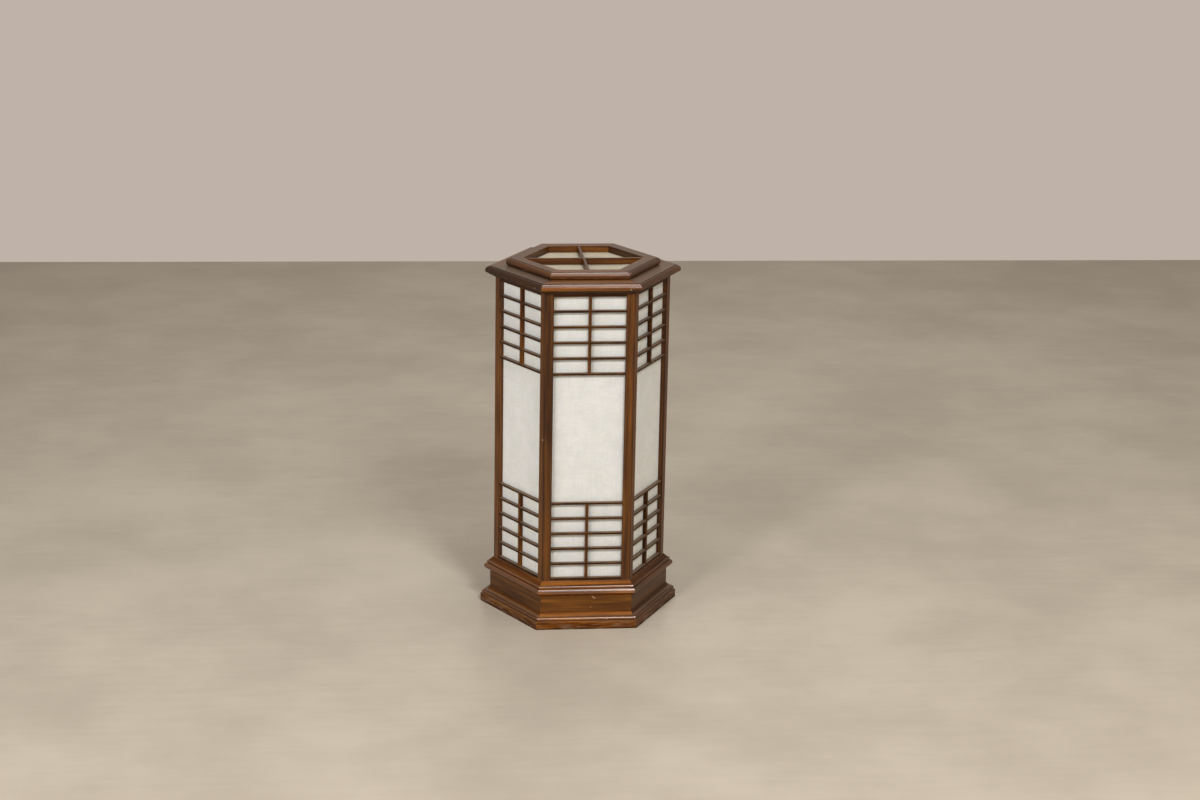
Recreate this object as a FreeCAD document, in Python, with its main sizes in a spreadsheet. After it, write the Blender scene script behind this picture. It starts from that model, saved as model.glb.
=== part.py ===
import FreeCAD, Part
import math
import os
import Sketcher

# Hexagonal lantern lamp: six paper panes behind wooden lattices, on a moulded base,
# under a moulded cap with a lift-off lid. Z is up, the origin is the middle of the foot,
# and the corners lie at 0, 60, 120 ... degrees, so one flat side faces -Y, the front.

# Driving sizes in millimetres: name, value, what it measures.
SIZES = [
    ("post_apothem", 115.6, "axis to the outer faces of the posts"),
    ("post_length", 448.5, "post between its shoulders"),
    ("post_face", 12.75, "width of a post on one side of its arris"),
    ("post_depth", 12.0, "post from its face inward"),
    ("post_rebate", 4.0, "rebate for the edge of the paper"),
    ("post_ease", 0.6, "flat taken off the post's front edges"),
    ("tenon_radius", 3.5, "round stub tenon on each end of a post"),
    ("tenon_length", 9.0, "length of that tenon"),
    ("tenon_setback", 8.0, "tenon centre from the post's arris"),
    ("tenon_gap", 0.1, "clearance round a tenon"),
    ("tenon_end_gap", 0.5, "clearance beyond the end of a tenon"),
    ("frieze_projection", 4.9, "frieze face beyond the post face"),
    ("frieze_height", 50.0, "frieze board, floor to sill"),
    ("frieze_thickness", 12.0, "frieze board"),
    ("base_face", 12.8, "upright face of the base moulding"),
    ("base_step", 2.0, "flat on top of that face, in front of the bead"),
    ("base_groove", 0.5, "groove under the bead"),
    ("base_bead", 2.3, "bead radius"),
    ("base_quirk", 0.6, "step from the bead up to the flat behind it"),
    ("base_fillet", 1.9, "flat between the bead and the cove"),
    ("base_cove", 6.0, "cove radius"),
    ("base_lip", 0.7, "flat at the top of the cove"),
    ("sill_height", 22.5, "sill moulding"),
    ("sill_width", 28.5, "sill moulding, nose to inner edge"),
    ("sill_lip", 0.6, "flat under the sill beyond the frieze"),
    ("sill_under_run", 7.4, "bevel under the sill, outward"),
    ("sill_under_rise", 5.8, "bevel under the sill, upward"),
    ("sill_face", 2.4, "upright face of the sill nose"),
    ("sill_round", 4.2, "round above that face"),
    ("sill_step", 1.3, "flat behind the round, in to the groove"),
    ("sill_groove", 0.4, "groove under the bead"),
    ("sill_bead", 1.9, "bead radius"),
    ("sill_fillet", 1.1, "flat between the bead and the ledge"),
    ("sill_quirk", 0.8, "step from that flat up to the ledge"),
    ("shoulder_reveal", 0.3, "flat left in front of the posts on the sill and the cap"),
    ("cap_height", 17.5, "cap moulding"),
    ("cap_projection", 13.5, "cap nose beyond the post face"),
    ("cap_width", 41.1, "cap moulding, nose to mouth"),
    ("cap_under_rise", 8.0, "bevel under the cap, upward"),
    ("cap_round", 6.0, "round on the upper edge of the cap"),
    ("cap_quirk", 0.8, "step between the round and the flat top"),
    ("brad_radius", 1.1, "brad in the cap moulding"),
    ("brad_length", 12.0, "brad in the cap moulding"),
    ("brad_offset", 58.0, "brad from the middle of its side"),
    ("brad_height", 9.5, "brad above the underside of the cap"),
    ("brad_gap", 0.05, "clearance round a brad"),
    ("bar_height", 3.4, "lattice strip, seen height"),
    ("bar_depth", 6.5, "lattice strip, front to back"),
    ("bar_setback", 0.8, "lattice front behind the post face"),
    ("upright_width", 4.4, "upright of the lattice"),
    ("cell_height", 20.65, "clear height between strips"),
    ("rail_height", 4.4, "rail at the top and bottom of a lattice"),
    ("bar_stub", 2.0, "end of a strip housed in a post or a rail"),
    ("paper_thickness", 0.5, "paper"),
    ("paper_gap", 0.2, "paper from the wall of its rebate"),
    ("lid_height", 11.5, "lid frame"),
    ("lid_overlap", 14.0, "lid edge beyond the mouth of the cap"),
    ("lid_width", 22.0, "lid frame, outer edge to opening"),
    ("lid_under", 3.0, "bevel under the lid's edge"),
    ("lid_round", 5.5, "round on the lid's upper edge"),
    ("lid_quirk", 0.6, "step between the round and the lid's flat"),
    ("lid_rebate_depth", 0.8, "rebate for the lid's paper"),
    ("lid_rebate_width", 8.5, "rebate for the lid's paper"),
    ("lid_bar_thickness", 3.6, "bars across the lid"),
    ("lid_bar_drop", 0.6, "bars below the top of the lid"),
    ("cleat_length", 60.0, "cleat under the lid"),
    ("cleat_thickness", 6.5, "cleat under the lid"),
    ("cleat_drop", 10.0, "cleat below the lid's underside"),
    ("lid_gap", 1.0, "cleat to the mouth of the cap"),
    ("block_side", 44.0, "glue block along each frieze board"),
    ("block_height", 30.0, "glue block"),
    ("board_thickness", 9.0, "base board"),
    ("board_gap", 0.3, "base board to the frieze boards"),
    ("wire_hole_radius", 6.0, "hole in the base board under the lampholder"),
    ("screw_head_radius", 3.5, "wood screw head"),
    ("screw_head_height", 2.2, "wood screw head"),
    ("screw_radius", 1.6, "wood screw shank"),
    ("screw_length", 14.0, "wood screw under its head"),
    ("screw_gap", 0.1, "clearance round a screw"),
    ("board_screw_reach", 110.0, "base board screws from the axis"),
    ("holder_flange_radius", 31.0, "lampholder flange"),
    ("holder_flange", 6.0, "lampholder flange thickness"),
    ("holder_radius", 21.0, "lampholder body"),
    ("holder_height", 46.0, "lampholder from the base board"),
    ("holder_chamber_radius", 16.0, "wiring chamber under the lampholder"),
    ("holder_chamber", 8.0, "wiring chamber height"),
    ("holder_floor", 4.0, "lampholder floor over the chamber"),
    ("holder_screw_reach", 25.5, "lampholder screws from the axis"),
    ("shell_wall", 0.6, "screw shell of the lampholder"),
    ("shell_gap", 0.1, "screw shell in its bore"),
    ("shell_rim_drop", 2.0, "screw shell below the lampholder's rim"),
    ("centre_contact_radius", 4.0, "spring contact of the lampholder"),
    ("centre_contact_height", 2.0, "spring contact of the lampholder"),
    ("contact_gap", 0.3, "bulb above the spring contact"),
    ("socket_gap", 0.4, "bulb cap to the screw shell"),
    ("bulb_cap_radius", 13.1, "bulb cap over its thread"),
    ("bulb_thread_depth", 0.7, "thread of the bulb cap"),
    ("bulb_thread_pitch", 3.6, "thread of the bulb cap"),
    ("bulb_cap_wall", 0.8, "bulb cap"),
    ("bulb_cap_length", 27.0, "bulb cap"),
    ("bulb_insulator_height", 4.5, "insulator under the bulb cap"),
    ("bulb_contact_radius", 4.5, "centre contact of the bulb"),
    ("bulb_contact_height", 1.2, "centre contact of the bulb"),
    ("bulb_radius", 30.0, "globe of the bulb"),
    ("bulb_taper", 45.0, "globe from the cap to its widest"),
    ("bulb_wall", 1.0, "globe of the bulb"),
    ("inlet_bore", 3.8, "bore of the grommet, radius"),
    ("grommet_radius", 5.8, "grommet barrel"),
    ("grommet_gap", 0.1, "grommet barrel in its hole"),
    ("grommet_flange_radius", 7.6, "grommet flanges"),
    ("grommet_flange", 2.0, "grommet flange thickness"),
]

SIDES = 6
STEP = 360.0 / SIDES
COS30 = math.cos(math.radians(STEP / 2))
SIN30 = math.sin(math.radians(STEP / 2))
TAN30 = SIN30 / COS30
BARS = 5                   # strips in each group of a lattice
BULB_THREADS = 4           # turns shown on the bulb cap
SAW_MARGIN = 5.0           # how far a mitre cut runs past the moulding
FACES = ["rear_right", "rear", "rear_left", "front_left", "front", "front_right"]
CORNERS = ["right", "rear_right", "rear_left", "left", "front_left", "front_right"]

doc = FreeCAD.newDocument("PaperLamp")
sheet = doc.addObject("Spreadsheet::Sheet", "Sizes")
for row, (alias, value, meaning) in enumerate(SIZES, start=1):
    sheet.set("A%d" % row, meaning)
    sheet.set("B%d" % row, str(value))
    sheet.setAlias("B%d" % row, alias)
doc.recompute()


class Size:
    """A length tied to the sheet: its formula for the model, its value for the first drawing."""

    def __init__(self, formula, value):
        self.formula = formula
        self.value = value

    def __add__(self, other):
        other = as_size(other)
        return Size("(%s + %s)" % (self.formula, other.formula), self.value + other.value)

    def __sub__(self, other):
        other = as_size(other)
        return Size("(%s - %s)" % (self.formula, other.formula), self.value - other.value)

    def __mul__(self, factor):
        return Size("(%s * %r)" % (self.formula, float(factor)), self.value * factor)

    def __truediv__(self, divisor):
        return self * (1.0 / divisor)

    def __neg__(self):
        return self * -1.0

    __rmul__ = __mul__


def as_size(amount):
    return amount if isinstance(amount, Size) else Size(repr(float(amount)), float(amount))


class Named:
    """The driving sizes, by name."""


size = Named()
for alias, value, meaning in SIZES:
    setattr(size, alias, Size("Sizes." + alias, value))

# Places worked out from the driving sizes.
post_corner = size.post_apothem / COS30
half_side = size.post_apothem * TAN30
half_opening = half_side - size.post_face
paper_setback = size.bar_setback + size.bar_depth
paper_front = size.post_apothem - paper_setback
frieze_outer = size.post_apothem + size.frieze_projection
frieze_inner = frieze_outer - size.frieze_thickness
sill_nose = frieze_outer + size.sill_lip + size.sill_under_run
sill_inner = sill_nose - size.sill_width
sill_top = size.frieze_height + size.sill_height
cap_bottom = sill_top + size.post_length
cap_top = cap_bottom + size.cap_height
cap_nose = size.post_apothem + size.cap_projection
cap_mouth = cap_nose - size.cap_width
lid_outer = cap_mouth + size.lid_overlap
lid_opening = lid_outer - size.lid_width
lid_top = cap_top + size.lid_height
lid_paper_top = cap_top + size.lid_rebate_depth
tenon_reach = post_corner - size.tenon_setback
base_bead_height = size.base_face + size.base_groove + size.base_bead
base_top = base_bead_height + size.base_bead + size.base_quirk + size.base_cove
board_top = size.frieze_height
board_bottom = board_top - size.board_thickness
inlet_height = (base_top + board_bottom) / 2

sub_parts = []


def bind(feature, **sizes):
    for name, amount in sizes.items():
        feature.setExpression(name, as_size(amount).formula)


def place(feature, x=0, y=0, z=0):
    for axis, amount in zip("xyz", (x, y, z)):
        feature.setExpression("Placement.Base." + axis, as_size(amount).formula)


def turn(degrees):
    return FreeCAD.Rotation(FreeCAD.Vector(0, 0, 1), degrees)


def box(name, low, extent):
    """A block given by its lowest corner and its extents."""
    block = doc.addObject("Part::Box", name)
    bind(block, Length=extent[0], Width=extent[1], Height=extent[2])
    place(block, *low)
    return block


def cylinder(name, radius, height, x=0, y=0, z=0):
    """An upright cylinder standing on the given point."""
    rod = doc.addObject("Part::Cylinder", name)
    bind(rod, Radius=radius, Height=height)
    place(rod, x, y, z)
    return rod


def rod_along_x(name, radius, length, x, y, z):
    rod = cylinder(name, radius, length)
    rod.Placement = FreeCAD.Placement(FreeCAD.Vector(), FreeCAD.Rotation(FreeCAD.Vector(0, 1, 0), 90))
    place(rod, x, y, z)
    return rod


def hexagon(name, apothem, height, z):
    """A six-sided plate with its corners on the corner directions."""
    plate = doc.addObject("Part::Prism", name)
    plate.Polygon = SIDES
    bind(plate, Circumradius=apothem / COS30, Height=height)
    place(plate, z=z)
    return plate


def group(name, members):
    bundle = doc.addObject("Part::Compound", name)
    bundle.Links = members
    return bundle


def cut(name, base, tool):
    result = doc.addObject("Part::Cut", name)
    result.Base = base
    result.Tool = tool
    return result


def fuse(name, members):
    result = doc.addObject("Part::MultiFuse", name)
    result.Shapes = members
    return result


def turned_copy(name, source, degrees):
    """The same piece set at another side or corner of the lamp."""
    copy = group(name, [source])
    copy.Placement = FreeCAD.Placement(FreeCAD.Vector(), turn(degrees))
    return copy


def round_the_sides(name, source):
    """Copies at all sides, joined as one group of separate pieces."""
    copies = []
    for index, side in enumerate(FACES):
        copies.append(turned_copy("%s_at_%s" % (name, side), source, STEP * (index + 0.5)))
    return group(name, copies)


def sub_part(feature, label=None):
    if label:
        feature.Label = label
    sub_parts.append(feature)
    return feature


def one_per_side(name, source):
    for index, side in enumerate(FACES):
        sub_part(turned_copy("%s_%s" % (name, side), source, STEP * (index + 0.5)))


class Corner:
    """A sharp corner of an outline."""

    def __init__(self, x, y):
        self.x = as_size(x)
        self.y = as_size(y)

    def spot(self, leaving):
        return FreeCAD.Vector(self.x.value, self.y.value, 0)


class Round:
    """An arc of an outline, entered and left at whole quarters, given in degrees."""

    def __init__(self, x, y, radius, enter, leave):
        self.x = as_size(x)
        self.y = as_size(y)
        self.radius = as_size(radius)
        self.enter = enter
        self.leave = leave

    def spot(self, leaving):
        angle = math.radians(self.leave if leaving else self.enter)
        reach = self.radius.value
        return FreeCAD.Vector(self.x.value + reach * math.cos(angle), self.y.value + reach * math.sin(angle), 0)

    def end(self, leaving):
        first_is_entry = self.leave > self.enter
        return 2 if leaving == first_is_entry else 1


def fix_point(sketch, geometry, position, x, y):
    """Tie a point of a sketch to its two distances from the sketch's origin."""
    for kind, axis, amount in (("DistanceX", -2, x), ("DistanceY", -1, y)):
        if amount.formula == "0.0":
            sketch.addConstraint(Sketcher.Constraint("PointOnObject", geometry, position, axis))
        else:
            row = sketch.addConstraint(Sketcher.Constraint(kind, -1, 1, geometry, position, amount.value))
            sketch.setExpression("Constraints[%d]" % row, amount.formula)


def draw(sketch, steps):
    """Draw one closed outline from corners and rounds, every size of it tied to the sheet."""
    arcs = {}
    for index, step in enumerate(steps):
        if isinstance(step, Round):
            low, high = sorted((math.radians(step.enter), math.radians(step.leave)))
            centre = FreeCAD.Vector(step.x.value, step.y.value, 0)
            circle = Part.Circle(centre, FreeCAD.Vector(0, 0, 1), step.radius.value)
            arc = sketch.addGeometry(Part.ArcOfCircle(circle, low, high), False)
            fix_point(sketch, arc, 3, step.x, step.y)
            row = sketch.addConstraint(Sketcher.Constraint("Radius", arc, step.radius.value))
            sketch.setExpression("Constraints[%d]" % row, step.radius.formula)
            for leaving, angle in ((False, step.enter), (True, step.leave)):
                level = "Horizontal" if angle % 180 == 0 else "Vertical"
                sketch.addConstraint(Sketcher.Constraint(level, arc, step.end(leaving), arc, 3))
            arcs[index] = arc
    lines = []
    for index, step in enumerate(steps):
        following = steps[(index + 1) % len(steps)]
        lines.append(sketch.addGeometry(Part.LineSegment(step.spot(True), following.spot(False)), False))
    for index, step in enumerate(steps):
        coming, going = lines[index - 1], lines[index]
        if index in arcs:
            arc = arcs[index]
            sketch.addConstraint(Sketcher.Constraint("Coincident", coming, 2, arc, step.end(False)))
            sketch.addConstraint(Sketcher.Constraint("Coincident", going, 1, arc, step.end(True)))
        else:
            sketch.addConstraint(Sketcher.Constraint("Coincident", coming, 2, going, 1))
            fix_point(sketch, going, 1, step.x, step.y)


def sketch_on(body, name, role):
    sketch = body.newObject("Sketcher::SketchObject", name)
    plane = [feature for feature in body.Origin.OriginFeatures if feature.Role == role][0]
    sketch.AttachmentSupport = [(plane, "")]
    sketch.MapMode = "FlatFace"
    return sketch


def mitred_length(name, section, inner, outer, height):
    """One length of moulding with its outer side towards +X, its ends sawn to the corners."""
    body = doc.addObject("PartDesign::Body", name)
    profile = sketch_on(body, name + "_section", "XZ_Plane")
    draw(profile, section)
    bar = body.newObject("PartDesign::Pad", name + "_bar")
    bar.Profile = profile
    bar.SideType = "Symmetric"
    half_length = outer * TAN30 + SAW_MARGIN
    bind(bar, Length=half_length * 2)
    ends = sketch_on(body, name + "_ends", "XY_Plane")
    near, far = inner - SAW_MARGIN, outer + SAW_MARGIN
    for hand in (1, -1):
        waste = (half_length + SAW_MARGIN) * hand
        draw(ends, [Corner(near, near * (TAN30 * hand)), Corner(far, far * (TAN30 * hand)),
                    Corner(far, waste), Corner(near, waste)])
    mitres = body.newObject("PartDesign::Pocket", name + "_mitres")
    mitres.Profile = ends
    mitres.SideType = "Symmetric"
    bind(mitres, Length=(height + SAW_MARGIN) * 2)
    doc.recompute()
    if not mitres.Shape.Volume < bar.Shape.Volume:
        raise RuntimeError("the mitres of %s cut nothing" % name)
    return body


def upright_piece(name, outline, height, z):
    """A piece of one plan shape, standing at a height."""
    body = doc.addObject("PartDesign::Body", name)
    plan = sketch_on(body, name + "_plan", "XY_Plane")
    draw(plan, outline)
    pad = body.newObject("PartDesign::Pad", name + "_pad")
    pad.Profile = plan
    bind(pad, Length=height)
    place(body, z=z)
    return body


def turned_piece(name, section, z=0):
    """A piece turned about its own axis, from its section on one side."""
    body = doc.addObject("PartDesign::Body", name)
    profile = sketch_on(body, name + "_section", "XZ_Plane")
    draw(profile, section)
    spin = body.newObject("PartDesign::Revolution", name + "_turning")
    spin.Profile = profile
    spin.ReferenceAxis = (profile, ["V_Axis"])
    spin.Angle = 360
    place(body, z=z)
    return body


def tenon_holes(name, z, depth):
    """Half holes for the posts' tenons at both mitred ends of one length."""
    holes = []
    for hand, end in ((1, "left"), (-1, "right")):
        x, y = tenon_reach * COS30, tenon_reach * (SIN30 * hand)
        holes.append(cylinder("%s_%s" % (name, end), size.tenon_radius + size.tenon_gap, depth, x, y, z))
    return group(name, holes)


tenon_depth = size.tenon_length + size.tenon_end_gap


def base_moulding():
    cove_edge = frieze_outer + size.base_lip + size.base_cove
    bead_middle = cove_edge + size.base_fillet
    foot = bead_middle + size.base_bead + size.base_step
    section = [
        Corner(frieze_outer, 0),
        Corner(foot, 0),
        Corner(foot, size.base_face),
        Corner(bead_middle, size.base_face),
        Round(bead_middle, base_bead_height, size.base_bead, -90, 90),
        Corner(bead_middle, base_top - size.base_cove),
        Round(cove_edge, base_top, size.base_cove, 270, 180),
        Corner(frieze_outer, base_top),
    ]
    one_per_side("base_moulding", mitred_length("base_length", section, frieze_outer, foot, base_top))


def grommet_hole():
    reach = frieze_inner - SAW_MARGIN
    length = size.frieze_thickness + 2 * SAW_MARGIN
    radius = size.grommet_radius + size.grommet_gap
    return rod_along_x("inlet_hole", radius, length, reach, 0, inlet_height)


def frieze_boards():
    section = [
        Corner(frieze_inner, 0),
        Corner(frieze_outer, 0),
        Corner(frieze_outer, size.frieze_height),
        Corner(frieze_inner, size.frieze_height),
    ]
    plain = mitred_length("frieze_length", section, frieze_inner, frieze_outer, size.frieze_height)
    drilled = cut("frieze_length_drilled", plain, grommet_hole())
    for index, side in enumerate(FACES):
        source = drilled if side == "rear" else plain
        sub_part(turned_copy("frieze_board_" + side, source, STEP * (index + 0.5)))


def sill_moulding():
    low = size.frieze_height
    nose_low = low + size.sill_under_rise
    round_height = nose_low + size.sill_face
    round_edge = sill_nose - size.sill_round
    round_top = round_height + size.sill_round
    bead_middle = round_edge - size.sill_step
    bead_height = round_top + size.sill_groove + size.sill_bead
    ledge_edge = bead_middle - size.sill_fillet
    flat_height = bead_height + size.sill_bead
    section = [
        Corner(sill_inner, low),
        Corner(frieze_outer + size.sill_lip, low),
        Corner(sill_nose, nose_low),
        Round(round_edge, round_height, size.sill_round, 0, 90),
        Corner(bead_middle, round_top),
        Round(bead_middle, bead_height, size.sill_bead, -90, 90),
        Corner(ledge_edge, flat_height),
        Corner(ledge_edge, flat_height + size.sill_quirk),
        Corner(size.post_apothem + size.shoulder_reveal, sill_top),
        Corner(sill_inner, sill_top),
    ]
    plain = mitred_length("sill_length", section, sill_inner, sill_nose, sill_top)
    holes = tenon_holes("sill_tenon_holes", sill_top - tenon_depth, tenon_depth)
    one_per_side("sill_moulding", cut("sill_length_bored", plain, holes))


def cap_moulding():
    round_height = cap_top - size.cap_quirk - size.cap_round
    round_edge = cap_nose - size.cap_round
    section = [
        Corner(cap_mouth, cap_bottom),
        Corner(size.post_apothem + size.shoulder_reveal, cap_bottom),
        Corner(cap_nose, cap_bottom + size.cap_under_rise),
        Round(round_edge, round_height, size.cap_round, 0, 90),
        Corner(round_edge, cap_top),
        Corner(cap_mouth, cap_top),
    ]
    plain = mitred_length("cap_length", section, cap_mouth, cap_nose, cap_top)
    holes = tenon_holes("cap_tenon_holes", cap_bottom, tenon_depth)
    brad_low = cap_nose - size.brad_length
    brad_z = cap_bottom + size.brad_height
    brad = rod_along_x("brad", size.brad_radius, size.brad_length, brad_low, size.brad_offset, brad_z)
    brad_hole = rod_along_x("brad_hole", size.brad_radius + size.brad_gap, size.brad_length,
                            brad_low, size.brad_offset, brad_z)
    one_per_side("cap_moulding", cut("cap_length_bored", plain, group("cap_borings", [holes, brad_hole])))
    sub_part(round_the_sides("cap_brads", brad))


def lattice():
    """The strips of one side, facing +X; returns the strips that the posts are housed for."""
    front = size.post_apothem - size.bar_setback
    back = front - size.bar_depth
    half_depth = size.bar_depth / 2
    opening = half_opening * 2
    housed = half_opening + size.bar_stub
    half_upright = size.upright_width / 2
    pitch = size.cell_height + size.bar_height
    low_edge = sill_top + size.rail_height
    high_edge = cap_bottom - size.rail_height
    reach = pitch * BARS
    strips, uprights, pieces = [], [], []
    groups = (("lower", low_edge, low_edge, -1), ("upper", high_edge, high_edge - reach, 1))
    for place_name, edge, low, rail_side in groups:
        stub_low = low - size.bar_stub if rail_side < 0 else low
        upright_length = reach + size.bar_stub
        rear_half = box(place_name + "_upright_rear", (back, -half_upright, stub_low),
                        (half_depth, size.upright_width, upright_length))
        whole = box(place_name + "_upright_blank", (back, -half_upright, stub_low),
                    (size.bar_depth, size.upright_width, upright_length))
        fronts = []
        for number in range(1, BARS + 1):
            bar_low = edge + pitch * number - size.bar_height if rail_side < 0 else edge - pitch * number
            name = "%s_strip_%d" % (place_name, number)
            blank = box(name + "_blank", (back, -housed, bar_low), (size.bar_depth, housed * 2, size.bar_height))
            strips.append(blank)
            pieces.append(cut(name, blank, rear_half))
            fronts.append(box(name + "_front", (back + half_depth, -housed, bar_low),
                              (half_depth, housed * 2, size.bar_height)))
        upright = cut(place_name + "_upright", whole, group(place_name + "_laps", fronts))
        uprights.append(whole)
        pieces.append(upright)
    for place_name, low, whole in (("bottom", sill_top, uprights[0]), ("top", high_edge, uprights[1])):
        blank = box(place_name + "_rail_blank", (back, -half_opening, low),
                    (size.bar_depth, opening, size.rail_height))
        pieces.append(cut(place_name + "_rail", blank, whole))
    one_per_side("lattice", group("lattice_side", pieces))
    return group("housed_strips", strips)


def paper_panes():
    half_width = half_opening + size.post_rebate - size.paper_gap
    low = sill_top + size.paper_gap
    height = size.post_length - 2 * size.paper_gap
    pane = box("pane", (paper_front - size.paper_thickness, -half_width, low),
               (size.paper_thickness, half_width * 2, height))
    one_per_side("paper_pane", pane)


def posts(strips):
    def plan_point(along, inward, hand):
        along, inward = as_size(along), as_size(inward)
        x = post_corner - along * SIN30 - inward * COS30
        return Corner(x, (along * COS30 - inward * SIN30) * hand)

    neck = size.post_face - size.post_rebate
    half = [
        (size.post_ease, 0),
        (size.post_face - size.post_ease, 0),
        (size.post_face, size.post_ease),
        (size.post_face, paper_setback),
        (neck, paper_setback),
        (neck, size.post_depth),
    ]
    outline = [plan_point(along, inward, 1) for along, inward in half]
    outline += [plan_point(along, inward, -1) for along, inward in reversed(half)]
    shaft = upright_piece("post_shaft", outline, size.post_length, sill_top)
    overlap = size.tenon_length
    foot = cylinder("post_foot_tenon", size.tenon_radius, size.tenon_length + overlap,
                    tenon_reach, 0, sill_top - size.tenon_length)
    head = cylinder("post_head_tenon", size.tenon_radius, size.tenon_length + overlap,
                    tenon_reach, 0, cap_bottom - overlap)
    tenoned = fuse("post_tenoned", [shaft, foot, head])
    either_side = [turned_copy("strips_left", strips, STEP / 2), turned_copy("strips_right", strips, -STEP / 2)]
    housed = cut("post_housed", tenoned, group("post_housings", either_side))
    for index, corner in enumerate(CORNERS):
        sub_part(turned_copy("post_" + corner, housed, STEP * index))


def lid():
    round_edge = lid_outer - size.lid_round
    round_height = lid_top - size.lid_quirk - size.lid_round
    rebate_edge = lid_opening + size.lid_rebate_width
    section = [
        Corner(lid_opening, lid_paper_top),
        Corner(rebate_edge, lid_paper_top),
        Corner(rebate_edge, cap_top),
        Corner(lid_outer - size.lid_under, cap_top),
        Corner(lid_outer, cap_top + size.lid_under),
        Round(round_edge, round_height, size.lid_round, 0, 90),
        Corner(round_edge, lid_top),
        Corner(lid_opening, lid_top),
    ]
    ring = round_the_sides("lid_ring", mitred_length("lid_length", section, lid_opening, lid_outer, lid_top))
    half_bar = size.lid_bar_thickness / 2
    bar_height = lid_top - size.lid_bar_drop - lid_paper_top
    long_reach = lid_opening / COS30 + size.bar_stub
    cross_reach = lid_opening + size.bar_stub
    long_blank = box("lid_bar_long_blank", (-long_reach, -half_bar, lid_paper_top),
                     (long_reach * 2, size.lid_bar_thickness, bar_height))
    cross_blank = box("lid_bar_cross_blank", (-half_bar, -cross_reach, lid_paper_top),
                      (size.lid_bar_thickness, cross_reach * 2, bar_height))
    lap_low = box("lid_lap_low", (-half_bar, -half_bar, lid_paper_top),
                  (size.lid_bar_thickness, size.lid_bar_thickness, bar_height / 2))
    lap_high = box("lid_lap_high", (-half_bar, -half_bar, lid_paper_top + bar_height / 2),
                   (size.lid_bar_thickness, size.lid_bar_thickness, bar_height / 2))
    sub_part(cut("lid_frame", ring, group("lid_bar_housings", [long_blank, cross_blank])))
    sub_part(cut("lid_bar_long", long_blank, lap_high))
    sub_part(cut("lid_bar_cross", cross_blank, lap_low))
    paper_low = lid_paper_top - size.paper_thickness
    sub_part(hexagon("lid_paper", rebate_edge - size.paper_gap, size.paper_thickness, paper_low))
    cleat_outer = cap_mouth - size.lid_gap
    cleat_low = cap_top - size.cleat_drop
    cleat = box("cleat", (cleat_outer - size.cleat_thickness, size.cleat_length / -2, cleat_low),
                (size.cleat_thickness, size.cleat_length, paper_low - cleat_low))
    sub_part(round_the_sides("lid_cleats", cleat))


def screw(name, x, y, seat):
    """A round-headed wood screw driven down, its head on the seat."""
    head = cylinder(name + "_head", size.screw_head_radius, size.screw_head_height, x, y, seat)
    shank = cylinder(name + "_shank", size.screw_radius, size.screw_length + size.screw_head_height,
                     x, y, seat - size.screw_length)
    return fuse(name, [head, shank])


def screw_hole(name, x, y, seat):
    return cylinder(name, size.screw_radius + size.screw_gap, size.screw_length, x, y, seat - size.screw_length)


def base_and_lampholder():
    corner = frieze_inner / COS30
    outline = [
        Corner(corner, 0),
        Corner(corner - size.block_side * SIN30, size.block_side * COS30),
        Corner(corner - size.block_side * SIN30, size.block_side * -COS30),
    ]
    block_low = board_bottom - size.block_height
    block = upright_piece("glue_block", outline, size.block_height, block_low)
    block_hole = screw_hole("glue_block_hole", size.board_screw_reach, 0, board_top)
    bored = cut("glue_block_bored", block, block_hole)
    blocks, screws, holes = [], [], []
    corner_screw = screw("corner_screw", size.board_screw_reach, 0, board_top)
    for index, place_name in enumerate(CORNERS):
        blocks.append(turned_copy("glue_block_" + place_name, bored, STEP * index))
        screws.append(turned_copy("board_screw_" + place_name, corner_screw, STEP * index))
        holes.append(turned_copy("board_hole_" + place_name, block_hole, STEP * index))
    sub_part(group("glue_blocks", blocks))

    flange_top = board_top + size.holder_flange
    flange_holes = []
    for hand, place_name in ((1, "right"), (-1, "left")):
        reach = size.holder_screw_reach * hand
        screws.append(screw("holder_screw_" + place_name, reach, 0, flange_top))
        flange_holes.append(screw_hole("holder_hole_" + place_name, reach, 0, flange_top))
    sub_part(group("wood_screws", screws))

    wire_hole = cylinder("wire_hole", size.wire_hole_radius, size.board_thickness, z=board_bottom)
    board_holes = group("board_holes", holes + flange_holes + [wire_hole])
    plate = hexagon("board_blank", frieze_inner - size.board_gap, size.board_thickness, board_bottom)
    sub_part(cut("base_board", plate, board_holes))

    shell_inner = size.bulb_cap_radius + size.socket_gap
    shell_outer = shell_inner + size.shell_wall
    bore = shell_outer + size.shell_gap
    floor_top = size.holder_chamber + size.holder_floor
    moulding = turned_piece("holder_moulding", [
        Corner(size.holder_chamber_radius, 0),
        Corner(size.holder_flange_radius, 0),
        Corner(size.holder_flange_radius, size.holder_flange),
        Corner(size.holder_radius, size.holder_flange),
        Corner(size.holder_radius, size.holder_height),
        Corner(bore, size.holder_height),
        Corner(bore, floor_top),
        Corner(0, floor_top),
        Corner(0, size.holder_chamber),
        Corner(size.holder_chamber_radius, size.holder_chamber),
    ], board_top)
    sub_part(cut("lampholder_body", moulding, group("flange_holes", flange_holes)))
    shell_top = size.holder_height - size.shell_rim_drop
    sub_part(turned_piece("lampholder_shell", [
        Corner(shell_inner, floor_top),
        Corner(shell_outer, floor_top),
        Corner(shell_outer, shell_top),
        Corner(shell_inner, shell_top),
    ], board_top))
    sub_part(cylinder("lampholder_contact", size.centre_contact_radius, size.centre_contact_height,
                      z=board_top + floor_top))
    return board_top + floor_top + size.centre_contact_height + size.contact_gap


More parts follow.
